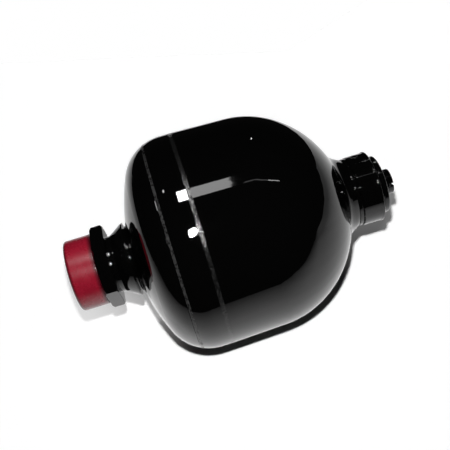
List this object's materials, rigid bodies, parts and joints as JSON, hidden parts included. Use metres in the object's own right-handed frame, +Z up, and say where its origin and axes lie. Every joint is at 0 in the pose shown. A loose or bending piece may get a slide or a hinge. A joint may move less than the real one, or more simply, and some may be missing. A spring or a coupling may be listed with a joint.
{
  "type": "bladder accumulator",
  "caption": "Round-shouldered welded pressure vessel with a capped hexagonal fluid port at one end and a round nut with a slotted gas plug at the other.",
  "frame": {"origin": "on the vessel's axis at the seat face of the fluid port's hexagon, where the port meets its manifold", "axes": "+X along the vessel's axis from the fluid port to the gas valve, +Z up with the vessel lying level"},
  "size_m": [0.2301, 0.151, 0.151],
  "materials": {
    "shell_paint": "gloss black enamel",
    "weld_paint": "black enamel over a dressed weld",
    "red_plastic": "satin moulded polyethylene",
    "nitrile": "matt moulded rubber",
    "machined_steel": "turned",
    "zinc_steel": "zinc plated",
    "spring_steel": "drawn wire",
    "brass": "turned"
  },
  "bodies": {
    "vessel": {"fluid_head": "shell_paint", "gas_half": "shell_paint", "girth_weld": "weld_paint", "boss": "shell_paint", "boss_weld": "weld_paint", "port_body": "shell_paint", "boss_seal": "nitrile", "port_cap": "red_plastic", "poppet_guide": "machined_steel", "guide_ring": "spring_steel", "poppet_spring": "spring_steel", "bladder": "nitrile", "stem": "machined_steel", "stem_seal": "nitrile", "collar_ring": "shell_paint", "lock_nut": "shell_paint", "valve_body": "shell_paint", "valve_seal": "nitrile", "valve_plug": "shell_paint", "plug_seal": "nitrile", "core_body": "brass", "core_spring": "spring_steel"},
    "poppet_valve": {"poppet": "machined_steel", "poppet_washer": "machined_steel", "poppet_nut": "zinc_steel"},
    "valve_pin": {"core_pin": "brass", "core_seal": "nitrile"}
  },
  "joints": [
    {"name": "poppet_slide", "type": "slide", "parent": "vessel", "child": "poppet_valve", "axis": [-1, 0, 0], "range_m": [0, 0.006], "stiffness_N_per_m": 1200, "springref_m": -0.01, "deforming": ["poppet_spring"]},
    {"name": "valve_pin_slide", "type": "slide", "parent": "vessel", "child": "valve_pin", "axis": [-1, 0, 0], "range_m": [0, 0.0012], "stiffness_N_per_m": 800, "springref_m": -0.002, "deforming": ["core_spring"]}
  ]
}
